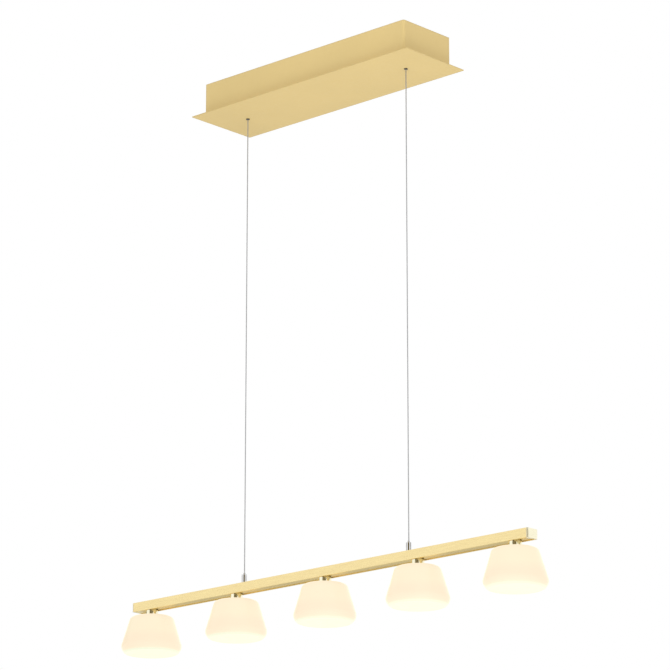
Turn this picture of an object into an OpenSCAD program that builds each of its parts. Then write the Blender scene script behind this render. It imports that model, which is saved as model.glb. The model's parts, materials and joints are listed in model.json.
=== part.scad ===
// Linear pendant light: a brass bar with five opal glass shades, hung on two thin cables
// from a long ceiling canopy. Height is set at two cable grippers on top of the bar.
// Origin: centre of the ceiling bracket's top face. +Z is up, the bar runs along X.

/* [Canopy] */
// Length of the canopy box
canopy_l = 510; // [480:5:600]
// Width of the canopy box
canopy_w = 130; // [120:2:170]
// Ceiling to the underside of the cover plate
canopy_h = 65; // [62:1:90]
// Sheet thickness of the box
canopy_wall = 1.2; // [0.8:0.1:2]
// Outer radius of the box's upright corners
canopy_corner_r = 5; // [3:0.5:8]
// Thickness of the cover plate
plate_t = 1.5; // [1:0.25:3]
// How far the plate stands past the box at each end
plate_over_x = 20; // [8:1:30]
// How far the plate stands past the box at each side
plate_over_y = 15; // [8:1:30]
// Corner radius of the plate
plate_corner_r = 1.5; // [0.5:0.5:5]
// Distance between the plate's studs along the box
plate_stud_gap_x = 300; // [260:10:340]
// Distance between the plate's studs across the box
plate_stud_gap_y = 104; // [98:1:106]

/* [Ceiling bracket] */
// Width of the bracket strip
strip_w = 40; // [34:1:56]
// Thickness of the bracket strip
strip_t = 2; // [1.5:0.25:3]
// Height of the bracket's end tabs
tab_h = 16; // [14:1:20]
// Distance between the two ceiling slots
slot_gap = 300; // [220:10:360]
// Width of a ceiling slot
slot_w = 5.5; // [4.5:0.5:7]
// End to end length of a ceiling slot
slot_l = 24; // [12:1:40]
// Hole in the strip for the mains cable's grommet
mains_hole_d = 18; // [14:1:20]
// Hole through the grommet
mains_bore_d = 9; // [6:0.5:10]

/* [Driver and terminals] */
// Length of the driver's case
driver_l = 170; // [130:5:190]
// Width of the driver's case
driver_w = 42; // [34:1:46]
// Height of the driver's case
driver_h = 28; // [20:1:34]
// Length of the terminal block
terminal_l = 30; // [27:1:36]
// Width of the terminal block
terminal_w = 18; // [15:1:22]
// Height of the terminal block
terminal_h = 15; // [12:1:18]
// Diameter of the leads inside the canopy
lead_d = 2; // [1.4:0.2:2.4]

/* [Suspension] */
// Underside of the cover plate to the top of the bar
drop = 910; // [600:10:1500]
// Distance between the two cables
cable_gap = 405; // [380:5:410]
// Diameter of a cable
cable_d = 2; // [1.6:0.1:2.2]
// Diameter of a bushing's flange under the plate
bushing_d = 7; // [6.5:0.5:9]

/* [Cable grippers] */
// Outer diameter of a gripper
gripper_d = 10; // [9.5:0.5:14]
// Height of a gripper's body above the bar
gripper_h = 17.5; // [17:0.5:24]
// How far the release plunger stands out of the body
plunger_out = 3.5; // [2.5:0.25:5]
// Diameter of the plunger where it leaves the body
plunger_d = 4.4; // [4:0.1:4.6]
// Travel of the plunger when it is pressed
plunger_travel = 2; // [1:0.1:2]
// Diameter of a clamping ball
ball_d = 2; // [1.8:0.1:2.2]

/* [Bar] */
// Overall length of the bar with its end caps
bar_l = 970; // [930:5:1100]
// Width of the bar
bar_w = 28; // [27:0.5:36]
// Height of the bar
bar_h = 17; // [16:0.5:24]
// Wall of the bar's profile
bar_wall = 1.5; // [1:0.1:2]
// How far each lip reaches in past the wall
lip_in = 1.5; // [1:0.1:2]
// Thickness of the lips that carry the cover strip
lip_t = 1.2; // [0.8:0.1:2]
// Thickness of the cover strip
cover_t = 2; // [1.5:0.1:2.5]
// Thickness of an end cap's outer plate
end_cap_t = 2.5; // [2:0.5:5]
// Rounding of an end cap's upright outer edges
end_cap_r = 2.4; // [0.5:0.1:2.4]

/* [Shades] */
// Distance between neighbouring shades
shade_pitch = 223; // [160:1:228]
// Height of the glass
shade_h = 74; // [66:1:100]
// Thickness of the glass
glass_t = 3; // [2:0.25:4]
// Radius of the flat crown under the cap
crown_r = 13; // [12.5:0.5:18]
// How far the shoulder lies inside the widest place, before rounding
shoulder_in = 17.5; // [12:0.5:20]
// Crown to shoulder, before rounding
shoulder_drop = 4.5; // [3:0.5:7]
// Rounding of the shoulder
shoulder_round = 9; // [6:0.5:11]
// How far the widest place stands past the lower edge, before rounding
belly = 6.5; // [3:0.5:10]
// How far the widest place lies above the lower edge, before rounding
widest_up = 12; // [11:0.5:14]
// Rounding of the widest place
widest_round = 14; // [8:0.5:16]
// How far the glass turns in flat below, before rounding
lip_w = 5.5; // [5:0.5:8]
// Rounding of the lower edge
lip_round = 7; // [5:0.5:8]
// Radius of the opening below
open_r = 46; // [42:0.5:52]
// Thickness of the diffuser at its rim
diffuser_t = 1.5; // [1:0.25:3]
// Diameter of the brass cap over each shade
cap_d = 24; // [23:0.5:26]
// Height of the cap between the bar and the glass
cap_h = 9; // [6:0.5:16]
// Diameter of the threaded hollow nipple
nipple_d = 10; // [8:0.5:12]
// Bore of the nipple
nipple_bore_d = 7; // [5:0.25:7.5]
// Diameter of the aluminium lamp holder in each shade
holder_d = 44; // [40:1:56]
// Height of the lamp holder's ribbed part
holder_h = 11; // [10:1:20]
// Thickness of the round lamp board
board_t = 1.6; // [1:0.1:2.4]

/* [Hidden] */
$fn = 48;

SHADES = 5;
LEFT = -1;
RIGHT = 1;

// Cutters run past what they cut, and joined solids reach into each other
past = 1;
merge = 0.1;

// Clearances
thread_gap = 0.05; // a screw in its thread, and a slide in its bore
hole_gap = 0.25; // a screw or a barrel in a plain hole
sheet_gap = 0.4; // the bracket's tabs to the canopy's walls
fit_gap = 0.2; // a plug or a strip in the profile
soft_gap = 0.3; // glass to what sits round it
wire_gap = 0.3; // end of a lead to what it meets

// Heights
floor_z = -(canopy_h - plate_t); // underside of the box's floor
floor_top_z = floor_z + canopy_wall;
plate_z = -canopy_h; // underside of the plate
bar_z = plate_z - drop; // top of the bar
bar_under_z = bar_z - bar_h;
cover_z = bar_under_z + lip_t; // underside of the cover strip
cover_top_z = cover_z + cover_t;
crown_z = bar_under_z - cap_h; // top of the glass
cable_x = cable_gap / 2;

// Metric screws, studs and nuts
m4_r = 2;
m4_nut_af = 7;
m4_nut_h = 3.2;
stud_h = 9; // above the sheet that carries it
pan_head_r = 3.8;
pan_head_h = 2.4;
hex_drive_af = 2.5;
hex_drive_deep = 1.4;

// Canopy fastening at the bracket's two ends
tab_x = canopy_l / 2 - canopy_wall - sheet_gap; // outer face of a tab
tab_fix_z = -9; // height of the screws and of the hook
screw_gap_y = 24; // between the two screws
screw_shank = 7.5;
hook_w = 20;
hook_reach = 2; // past the tab's inner face
hook_play = 0.6; // above the hook

// Driver, its ears and its place on the floor of the box
driver_x = -15;
driver_y = -26;
driver_corner_r = 3;
ear_l = 12;
ear_t = 2.5;
ear_w = 20;
socket_w = 7;
socket_deep = 5;
socket_up = 8; // height of the lead sockets over the floor
socket_gap = 10;
driver_left = driver_x - driver_l / 2;
driver_right = driver_x + driver_l / 2;
driver_top_z = floor_top_z + driver_h;

// Terminal block under the strip
terminal_x = 62;
terminal_poles = 3;
pole_gap = 9;
pole_bore_r = 1.7;
pole_bore_down = 9; // bore below the strip
clamp_screw_r = 1.6;
clamp_screw_h = 4;
clamp_slot_w = 0.6;
clamp_sunk = 0.5; // head of a clamp screw inside the block
clamp_in_y = 4.2; // each clamp screw from the block's side
peg_r = 1.5;
peg_gap_x = 20;

// Earth screw in the strip and earth stud on the floor
earth_x = 105;
earth_stud_x = 118;
earth_stud_y = 28;
earth_ring_t = 1;
earth_ring_r = 3.6;
earth_tongue_l = 5;

// Grommet
grommet_lip_r = 2; // past the hole
grommet_lip_t = 2.5;
grommet_top_gap = 0.2;

// Bushings and cable stops
bushing_flange_t = 1;
bushing_barrel_r = 2.7;
bushing_up = 5; // barrel above the floor
bushing_nut_af = 9;
bushing_nut_h = 2.5;
bushing_flare = 0.8;
cable_r = cable_d / 2;
cable_bore_r = cable_r + 0.15;
stop_z = floor_top_z + bushing_up;
stop_r = 2.4;
stop_h = 10;
stop_flange_r = 3.4;
stop_flange_t = 1.5;
stop_closed = 2; // solid end above the cable
cable_top_z = stop_z + stop_h - stop_closed;

// Gripper, heights above the bar
stud_flange_r = 6;
stud_flange_t = 2;
cable_low_z = bar_z - bar_wall - stud_flange_t - 1; // end of a cable inside the bar
stud_r = 3;
stud_up = 4.2; // top of the threaded stud
thread_up = 4.5; // end of the thread in the body
chamber_r = 3.6;
cone_from = 8;
cone_to = 13;
cone_top_r = 2.8;
cage_from = 9;
cage_to = 12.7;
cage_r = 2.5;
ball_up = 10.5;
ball_gap = 0.05;
ball_count = 3;
spring_wire_d = 0.5;
spring_turns = 5;
spring_steps = 12; // a turn
spring_sides = 6;
edge_cut = 0.5; // small edge chamfer

// Cap, gaskets, lamp holder
boss_gap = 2; // from the lips of the profile
cap_boss_r = bar_w / 2 - bar_wall - lip_in - boss_gap; // stands between the lips
gasket_t = 1;
gasket_seat_deep = 0.7;
gasket_in_r = nipple_d / 2 + 0.6;
gasket_edge = 2; // from the edge of the cap
gasket_out_r = cap_d / 2 - gasket_edge;
nipple_r = nipple_d / 2;
lip_r = open_r + lip_w; // radii of the glass, before rounding
widest_r = lip_r + belly;
shoulder_r = widest_r - shoulder_in;
nipple_nut_af = 15;
nipple_nut_h = 3.5;
nipple_end = 1.2; // past the nut
nipple_in_holder = 8;
crown_hole_r = nipple_r + 0.6;
holder_z = crown_z - glass_t - gasket_t; // top of the lamp holder
crown_slope = atan(shoulder_drop / (shoulder_r - crown_r));
crown_fall = (holder_d / 2 - crown_r) * tan(crown_slope) + glass_t * (1 / cos(crown_slope) - 1);
neck_tenths = ceil(10 * (crown_fall + 2 * soft_gap - gasket_t)); // rounded up to a tenth
neck_h = max(1, neck_tenths / 10); // keeps the ribs clear of the sloping glass
board_z = holder_z - neck_h - holder_h; // top of the lamp board
board_r = holder_d / 2 - 1.5;
holder_floor = 2; // under the nipple's end, with a hole for each lead
rib_deep = 3;
rib_t = 1.6;
rib_count = 3;
chip_count = 8;
chip_w = 3;
chip_t = 0.7;
chip_ring = 0.62; // share of the board's radius
diffuser_seat = 1; // rim on the glass lip
diffuser_in = 0.3; // face above the lower edge

// End cap's hollow plug, and the inside of the profile
profile_l = bar_l - 2 * end_cap_t;
inner_half = bar_w / 2 - bar_wall;
slot_half = inner_half - lip_in;
plug_l = 9; // how far an end cap reaches into the profile
plug_wall = 2;

// Steps of the leads' routes in the canopy
bend = 4;

// Leads in the bar
trunk_d = 1.8;
trunk_in = 1.2; // from the profile's wall
trunk_down = 3.5; // axis below the web
trunk_past = 8; // past the outermost nipples
drop_lead_d = 1.3;
drop_lead_gap = 2.6; // between the two leads of a nipple
drop_from = 7; // where a drop lead leaves its trunk, from the nipple
drop_straight = 6; // straight stretch at the ends of a drop lead
link_step = 4; // steps of the links' routes from the cables

// Points of outlines and routes, and sides of round things
arc_steps = 8;
lead_steps = 3;
lead_sides = 8;
thin_lead_steps = 2;
thin_lead_sides = 6;
glass_sides = 96;
ball_sides = 24;

function hex_r(af) = af / 2 / cos(30);
function shade_x(i) = (i - (SHADES + 1) / 2) * shade_pitch;
function unit(v) = v / norm(v);

// Rounding of the corner b between a and c, as points on an arc
function corner_dir(a, b, c) = unit(unit(a - b) + unit(c - b));
function corner_half(a, b, c) = acos(unit(a - b) * unit(c - b)) / 2;
function inset_corner(a, b, c, t) = b + corner_dir(a, b, c) * t / sin(corner_half(a, b, c));
function arc_points(a, b, c, r) =
  let (
    centre = inset_corner(a, b, c, r),
    reach = r / tan(corner_half(a, b, c)),
    from = b + unit(a - b) * reach - centre,
    to = b + unit(c - b) * reach - centre,
    a0 = atan2(from[1], from[0]),
    turn = atan2(from[0] * to[1] - from[1] * to[0], from * to)
  )
  [for (k = [0:arc_steps]) centre + r * [cos(a0 + turn * k / arc_steps), sin(a0 + turn * k / arc_steps)]];

// A smooth curve through the points of a route
function curve_point(p0, p1, p2, p3, t) =
  0.5 * (2 * p1 + (p2 - p0) * t + (2 * p0 - 5 * p1 + 4 * p2 - p3) * t * t
  + (3 * p1 - p0 - 3 * p2 + p3) * t * t * t);
function smooth_route(p, steps) =
  let (n = len(p) - 1)
  [for (i = [0:n - 1], k = [0:steps - 1])
    curve_point(p[max(i - 1, 0)], p[i], p[i + 1], p[min(i + 2, n)], k / steps), p[n]];

function tangents(p) =
  [for (i = [0:len(p) - 1]) unit(p[min(i + 1, len(p) - 1)] - p[max(i - 1, 0)])];
function square_to(n, t) = unit(n - (n * t) * t);
function normals(t, first) =
  [for (i = 0, n = square_to(first, t[0]); i < len(t); i = i + 1,
    n = square_to(n, t[min(i, len(t) - 1)])) n];

// A round wire along a route: one closed tube with flat ends
module wire(route, d, sides, first) {
  t = tangents(route);
  n = normals(t, first);
  rings = [for (i = [0:len(route) - 1], k = [0:sides - 1])
    route[i] + d / 2 * (cos(360 * k / sides) * n[i] + sin(360 * k / sides) * cross(t[i], n[i]))];
  last = (len(route) - 1) * sides;
  walls = [for (i = [0:len(route) - 2], k = [0:sides - 1])
    let (a = i * sides + k, b = i * sides + (k + 1) % sides)
    each [[a, a + sides, b], [b, a + sides, b + sides]]];
  ends = [for (k = [1:sides - 2]) each [[0, k, k + 1], [last, last + k + 1, last + k]]];
  polyhedron(points = rings, faces = concat(walls, ends));
}

module lead(route) {
  wire(smooth_route(route, lead_steps), lead_d, lead_sides, [0.3, 1, 0.2]);
}

module rounded_rect(l, w, r) {
  square([l - 2 * r, w], center = true);
  square([l, w - 2 * r], center = true);
  for (x = [-1, 1], y = [-1, 1]) translate([x * (l / 2 - r), y * (w / 2 - r)]) circle(r);
}

module hex_nut(af, h, bore_r) {
  difference() {
    cylinder(h = h, r = hex_r(af), $fn = 6);
    translate([0, 0, -past]) cylinder(h = h + 2 * past, r = bore_r);
  }
}

module at_shade(i) {
  translate([shade_x(i), 0, 0]) children();
}

module at_cable(side) {
  translate([side * cable_x, 0, 0]) children();
}

// Ceiling bracket: a strip with two down-turned tabs. The right tab takes the box's hook,
// the left one its two screws.
module ceiling_bracket() {
  color("silver") difference() {
    union() {
      translate([-tab_x, -strip_w / 2, -strip_t]) cube([2 * tab_x, strip_w, strip_t]);
      for (side = [LEFT, RIGHT])
        translate([side * (tab_x - strip_t / 2) - strip_t / 2, -strip_w / 2, -tab_h])
          cube([strip_t, strip_w, tab_h]);
    }
    for (side = [LEFT, RIGHT]) translate([side * slot_gap / 2, 0, -strip_t - past])
      linear_extrude(strip_t + 2 * past) {
        square([slot_l - slot_w, slot_w], center = true);
        for (end = [-1, 1]) translate([end * (slot_l - slot_w) / 2, 0]) circle(slot_w / 2);
      }
    translate([0, 0, -strip_t - past]) cylinder(h = strip_t + 2 * past, d = mains_hole_d);
    for (x = [-1, 1]) translate([terminal_x + x * peg_gap_x / 2, 0, -strip_t - past])
      cylinder(h = strip_t + 2 * past, r = peg_r + thread_gap);
    translate([earth_x, 0, -strip_t - past]) cylinder(h = strip_t + 2 * past, r = m4_r + thread_gap);
    translate([tab_x - strip_t - past, -hook_w / 2 - sheet_gap, tab_fix_z - canopy_wall / 2])
      cube([strip_t + 2 * past, hook_w + 2 * sheet_gap, canopy_wall + hook_play]);
    for (y = [-1, 1]) translate([-tab_x - past, y * screw_gap_y / 2, tab_fix_z]) rotate([0, 90, 0])
      cylinder(h = strip_t + 2 * past, r = m4_r + thread_gap);
  }
}

// Rubber grommet that lines the strip's mains hole from below
module mains_grommet() {
  barrel_r = mains_hole_d / 2 - thread_gap;
  bottom_z = -strip_t - grommet_lip_t;
  color("dimgray") rotate_extrude() polygon([
    [mains_bore_d / 2, bottom_z], [mains_hole_d / 2 + grommet_lip_r, bottom_z],
    [mains_hole_d / 2 + grommet_lip_r, -strip_t], [barrel_r, -strip_t],
    [barrel_r, -grommet_top_gap], [mains_bore_d / 2, -grommet_top_gap]
  ]);
}

// Three-pole terminal block: leads enter along Y, clamp screws turn from below
module terminal_block() {
  top_z = -strip_t;
  color("whitesmoke") difference() {
    union() {
      translate([terminal_x - terminal_l / 2, -terminal_w / 2, top_z - terminal_h])
        cube([terminal_l, terminal_w, terminal_h]);
      for (x = [-1, 1]) translate([terminal_x + x * peg_gap_x / 2, 0, top_z])
        cylinder(h = strip_t - grommet_top_gap, r = peg_r);
    }
    for (pole = [1:terminal_poles]) {
      pole_x = terminal_x + (pole - (terminal_poles + 1) / 2) * pole_gap;
      translate([pole_x, -terminal_w / 2 - past, top_z - pole_bore_down]) rotate([-90, 0, 0])
        cylinder(h = terminal_w + 2 * past, r = pole_bore_r);
      for (y = [-1, 1]) translate([pole_x, y * (terminal_w / 2 - clamp_in_y), top_z - terminal_h - past])
        cylinder(h = terminal_h - pole_bore_down + past, r = clamp_screw_r + thread_gap);
    }
  }
}

// Slotted clamp screws of the terminal block
module terminal_screws() {
  from_z = -strip_t - terminal_h + clamp_sunk;
  to_z = min(from_z + clamp_screw_h, -strip_t - pole_bore_down - lead_d / 2 - wire_gap);
  color("goldenrod") for (pole = [1:terminal_poles], y = [-1, 1])
    translate([terminal_x + (pole - (terminal_poles + 1) / 2) * pole_gap,
      y * (terminal_w / 2 - clamp_in_y), from_z])
      difference() {
        cylinder(h = to_z - from_z, r = clamp_screw_r);
        translate([-clamp_slot_w / 2, -clamp_screw_r - past, -past])
          cube([clamp_slot_w, 2 * (clamp_screw_r + past), clamp_slot_w + past]);
      }
}

// Pan-head earth screw with its lead's ring under the head
module earth_screw() {
  head_z = -strip_t - earth_ring_t;
  color("goldenrod") difference() {
    union() {
      translate([earth_x, 0, head_z - pan_head_h]) cylinder(h = pan_head_h, r = pan_head_r);
      translate([earth_x, 0, head_z]) cylinder(h = earth_ring_t + strip_t - grommet_top_gap, r = m4_r);
    }
    translate([earth_x, 0, head_z - pan_head_h - past])
      cylinder(h = hex_drive_deep + past, r = hex_r(hex_drive_af), $fn = 6);
  }
}

// Folded sheet box, open towards the ceiling
module canopy_box() {
  inner_l = canopy_l - 2 * canopy_wall;
  inner_w = canopy_w - 2 * canopy_wall;
  color("burlywood") difference() {
    union() {
      difference() {
        translate([0, 0, floor_z]) linear_extrude(-floor_z)
          rounded_rect(canopy_l, canopy_w, canopy_corner_r);
        translate([0, 0, floor_top_z]) linear_extrude(-floor_top_z + past)
          rounded_rect(inner_l, inner_w, canopy_corner_r - canopy_wall);
      }
      for (x = [driver_left - ear_l / 2, driver_right + ear_l / 2])
        translate([x, driver_y, floor_top_z - merge]) cylinder(h = stud_h + merge, r = m4_r);
      translate([earth_stud_x, earth_stud_y, floor_top_z - merge]) cylinder(h = stud_h + merge, r = m4_r);
      translate([tab_x - strip_t - hook_reach, -hook_w / 2, tab_fix_z - canopy_wall / 2])
        cube([strip_t + hook_reach + sheet_gap + canopy_wall / 2, hook_w, canopy_wall]);
    }
    for (side = [LEFT, RIGHT]) at_cable(side) translate([0, 0, floor_z - past])
      cylinder(h = canopy_wall + 2 * past, r = bushing_barrel_r + hole_gap);
    for (x = [-1, 1], y = [-1, 1])
      translate([x * plate_stud_gap_x / 2, y * plate_stud_gap_y / 2, floor_z - past])
        cylinder(h = canopy_wall + 2 * past, r = m4_r + hole_gap);
    for (y = [-1, 1]) translate([-canopy_l / 2 - past, y * screw_gap_y / 2, tab_fix_z]) rotate([0, 90, 0])
      cylinder(h = canopy_wall + 2 * past, r = m4_r + hole_gap);
  }
}

// Flat cover plate with four weld studs that reach up through the box's floor
module canopy_plate() {
  color("burlywood") difference() {
    union() {
      translate([0, 0, plate_z]) linear_extrude(plate_t)
        rounded_rect(canopy_l + 2 * plate_over_x, canopy_w + 2 * plate_over_y, plate_corner_r);
      for (x = [-1, 1], y = [-1, 1])
        translate([x * plate_stud_gap_x / 2, y * plate_stud_gap_y / 2, floor_z - merge])
          cylinder(h = canopy_wall + stud_h + merge, r = m4_r);
    }
    for (side = [LEFT, RIGHT]) at_cable(side) translate([0, 0, plate_z - past])
      cylinder(h = plate_t + 2 * past, r = bushing_barrel_r + hole_gap);
  }
}

// Hex nuts on the plate's, the driver's and the earth's studs
module canopy_nuts() {
  color("silver") {
    for (x = [-1, 1], y = [-1, 1])
      translate([x * plate_stud_gap_x / 2, y * plate_stud_gap_y / 2, floor_top_z])
        hex_nut(m4_nut_af, m4_nut_h, m4_r + thread_gap);
    for (x = [driver_left - ear_l / 2, driver_right + ear_l / 2])
      translate([x, driver_y, floor_top_z + ear_t]) hex_nut(m4_nut_af, m4_nut_h, m4_r + thread_gap);
    translate([earth_stud_x, earth_stud_y, floor_top_z + earth_ring_t])
      hex_nut(m4_nut_af, m4_nut_h, m4_r + thread_gap);
  }
}

// Two pan-head screws through the box's left end into the bracket's tab
module canopy_screws() {
  color("burlywood") for (y = [-1, 1])
    translate([-canopy_l / 2, y * screw_gap_y / 2, tab_fix_z]) rotate([0, 90, 0]) difference() {
      union() {
        translate([0, 0, -pan_head_h])
          cylinder(h = pan_head_h, r1 = pan_head_r - edge_cut, r2 = pan_head_r);
        cylinder(h = screw_shank, r = m4_r);
      }
      translate([0, 0, -pan_head_h - past])
        cylinder(h = hex_drive_deep + past, r = hex_r(hex_drive_af), $fn = 6);
    }
}

// Driver in a plastic case with an ear and two lead sockets at each end
module led_driver() {
  color("whitesmoke") difference() {
    union() {
      translate([driver_x, driver_y, floor_top_z]) linear_extrude(driver_h)
        rounded_rect(driver_l, driver_w, driver_corner_r);
      translate([driver_x, driver_y, floor_top_z]) linear_extrude(ear_t)
        square([driver_l + 2 * ear_l, ear_w], center = true);
    }
    for (x = [driver_left - ear_l / 2, driver_right + ear_l / 2])
      translate([x, driver_y, floor_top_z - past]) cylinder(h = ear_t + 2 * past, r = m4_r + hole_gap);
    for (end = [driver_left - past, driver_right - socket_deep], y = [-1, 1])
      translate([end, driver_y + y * socket_gap / 2 - socket_w / 2, floor_top_z + socket_up - socket_w / 2])
        cube([socket_deep + past, socket_w, socket_w]);
  }
}

// Two mains leads from the terminal block to the driver's right end
module driver_input_leads() {
  from_z = -strip_t - pole_bore_down;
  to_z = floor_top_z + socket_up;
  color("saddlebrown") for (k = [0, 1]) {
    pole_x = terminal_x + (k - 1) * pole_gap;
    to_y = driver_y + (2 * k - 1) * socket_gap / 2;
    lead([
      [pole_x, -terminal_w / 2 + 0.75 * bend, from_z], [pole_x, -terminal_w / 2 - 0.5 * bend, from_z],
      [pole_x + 0.5 * bend, -terminal_w / 2 - 1.5 * bend, from_z - 0.75 * bend],
      [driver_right + 3 * bend, (k - 4.75) * bend, -6 * bend],
      [driver_right + 5.5 * bend, to_y + 0.5 * bend, -9.5 * bend], [driver_right + 4 * bend, to_y, to_z],
      [driver_right + bend, to_y, to_z], [driver_right - socket_deep + wire_gap, to_y, to_z]
    ]);
  }
}

// Ring of the earth lead, with the tongue that grips the lead
module earth_ring() {
  difference() {
    union() {
      cylinder(h = earth_ring_t, r = earth_ring_r);
      translate([earth_ring_r - past, -lead_d / 2, 0]) cube([earth_tongue_l, lead_d, earth_ring_t]);
    }
    translate([0, 0, -past]) cylinder(h = earth_ring_t + 2 * past, r = m4_r + hole_gap);
  }
}

// Earth lead with a ring at each end, from the bracket's screw to the box's stud
module earth_lead() {
  ring_z = -strip_t - earth_ring_t;
  low_z = floor_top_z;
  lead_top_z = -strip_t - lead_d / 2 - fit_gap;
  color("yellowgreen") {
    translate([earth_x, 0, ring_z]) earth_ring();
    translate([earth_stud_x, earth_stud_y, low_z]) earth_ring();
    lead([
      [earth_x + earth_ring_r + 0.75 * bend, 0, lead_top_z],
      [earth_x + earth_ring_r + 2.25 * bend, 0.125 * bend, lead_top_z - 0.325 * bend],
      [earth_x + 5 * bend, bend, -3 * bend], [earth_x + 7 * bend, 3.5 * bend, -7.5 * bend],
      [earth_x + 7.5 * bend, 6 * bend, -12 * bend],
      [earth_stud_x + earth_ring_r + 2.25 * bend, earth_stud_y, low_z + 0.625 * bend],
      [earth_stud_x + earth_ring_r + 0.75 * bend, earth_stud_y, low_z + lead_d / 2 + fit_gap]
    ]);
  }
}

// Low-voltage lead from the driver's left end to a cable stop
module output_lead_left() {
  from_z = floor_top_z + socket_up;
  top_z = stop_z + stop_h;
  from_y = driver_y + socket_gap / 2;
  color("firebrick") lead([
    [driver_left + socket_deep - wire_gap, from_y, from_z], [driver_left - bend, from_y, from_z],
    [driver_left - 4.5 * bend, from_y + 0.25 * bend, from_z + 0.75 * bend],
    [(driver_left - cable_x) / 2, -2.5 * bend, top_z + bend],
    [-cable_x + 3 * bend, -0.75 * bend, top_z + 2 * bend], [-cable_x + 0.75 * bend, 0, top_z + 1.75 * bend],
    [-cable_x, 0, top_z + 0.75 * bend], [-cable_x, 0, top_z + wire_gap]
  ]);
}

// The other low-voltage lead, which passes round the driver
module output_lead_right() {
  from_z = floor_top_z + socket_up;
  top_z = stop_z + stop_h;
  from_y = driver_y - socket_gap / 2;
  turn_x = driver_left - 5.5 * bend;
  over_y = driver_y + driver_w / 2 + 2 * bend;
  color("black") lead([
    [driver_left + socket_deep - wire_gap, from_y, from_z], [driver_left - bend, from_y, from_z],
    [turn_x + 1.5 * bend, from_y + 0.25 * bend, from_z + 0.5 * bend],
    [turn_x, from_y + 3 * bend, from_z + 2.25 * bend],
    [turn_x + 2 * bend, over_y - bend, from_z + 3.5 * bend],
    [driver_left + 3.5 * bend, over_y, from_z + 4 * bend],
    [driver_x, over_y + 0.25 * bend, from_z + 4.25 * bend],
    [driver_right - 2.5 * bend, over_y + 0.5 * bend, from_z + 3.5 * bend],
    [(driver_right + cable_x) / 2, over_y - 1.5 * bend, top_z + 1.25 * bend],
    [cable_x - 3 * bend, 0.75 * bend, top_z + 2 * bend], [cable_x - 0.75 * bend, 0, top_z + 1.75 * bend],
    [cable_x, 0, top_z + 0.75 * bend], [cable_x, 0, top_z + wire_gap]
  ]);
}

// Flanged insulating bushing where a cable leaves the plate
module cable_bushing(side) {
  bottom_z = plate_z - bushing_flange_t;
  top_z = floor_top_z + bushing_up;
  color("black") at_cable(side) rotate_extrude() polygon([
    [cable_bore_r + bushing_flare, bottom_z], [bushing_d / 2, bottom_z], [bushing_d / 2, plate_z],
    [bushing_barrel_r, plate_z], [bushing_barrel_r, top_z], [cable_bore_r, top_z],
    [cable_bore_r, plate_z + plate_t]
  ]);
}

module bushing_nuts() {
  color("silver") for (side = [LEFT, RIGHT]) at_cable(side) translate([0, 0, floor_top_z])
    hex_nut(bushing_nut_af, bushing_nut_h, bushing_barrel_r + thread_gap);
}

// Crimped end of a cable, resting on top of its bushing
module cable_stop(side) {
  color("silver") at_cable(side) rotate_extrude() polygon([
    [cable_r + thread_gap, stop_z], [stop_flange_r, stop_z], [stop_flange_r, stop_z + stop_flange_t],
    [stop_r, stop_z + stop_flange_t], [stop_r, stop_z + stop_h - edge_cut],
    [stop_r - edge_cut, stop_z + stop_h], [0, stop_z + stop_h], [0, cable_top_z + wire_gap],
    [cable_r + thread_gap, cable_top_z + wire_gap]
  ]);
}

// Cable from its stop in the canopy to just below the bar's web
module suspension_cable(side) {
  color("lightgray") at_cable(side) translate([0, 0, cable_low_z])
    cylinder(h = cable_top_z - cable_low_z, r = cable_r);
}

// Gripper body: threaded below, a cone inside that wedges the balls, a bore above for the plunger
module gripper_body(side) {
  color("gainsboro") at_cable(side) translate([0, 0, bar_z]) rotate_extrude() polygon([
    [stud_r + thread_gap, 0], [gripper_d / 2, 0], [gripper_d / 2, gripper_h - edge_cut],
    [gripper_d / 2 - edge_cut, gripper_h], [plunger_d / 2 + thread_gap, gripper_h],
    [plunger_d / 2 + thread_gap, cone_to], [cone_top_r, cone_to], [chamber_r, cone_from],
    [chamber_r, thread_up], [stud_r + thread_gap, thread_up]
  ]);
}

// Flanged hollow studs: from inside the bar, up through its web, into the gripper bodies
module gripper_studs() {
  color("silver") for (side = [LEFT, RIGHT]) at_cable(side) translate([0, 0, bar_z])
    rotate_extrude() polygon([
      [cable_bore_r, -bar_wall - stud_flange_t], [stud_flange_r, -bar_wall - stud_flange_t],
      [stud_flange_r, -bar_wall], [stud_r, -bar_wall], [stud_r, stud_up], [cable_bore_r, stud_up]
    ]);
}

// Release plunger: a nose above, a cage with round windows for the balls below
module gripper_plunger(side) {
  top = gripper_h + plunger_out;
  color("silver") at_cable(side) translate([0, 0, bar_z]) difference() {
    rotate_extrude() polygon([
      [cable_bore_r, cage_from], [cage_r, cage_from], [cage_r, cage_to], [plunger_d / 2, cage_to],
      [plunger_d / 2, top - edge_cut], [plunger_d / 2 - edge_cut, top], [cable_bore_r, top]
    ]);
    for (k = [1:ball_count]) rotate([0, 0, k * 360 / ball_count]) translate([0, 0, ball_up])
      rotate([0, 90, 0]) cylinder(h = cage_r + past, r = ball_d / 2 + ball_gap);
  }
}

// Balls that bite on the cable
module gripper_balls(side) {
  reach = cable_r + ball_gap + ball_d / 2;
  color("dimgray") at_cable(side) for (k = [1:ball_count]) rotate([0, 0, k * 360 / ball_count])
    translate([reach, 0, bar_z + ball_up]) sphere(ball_d / 2, $fn = ball_sides);
}

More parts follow.
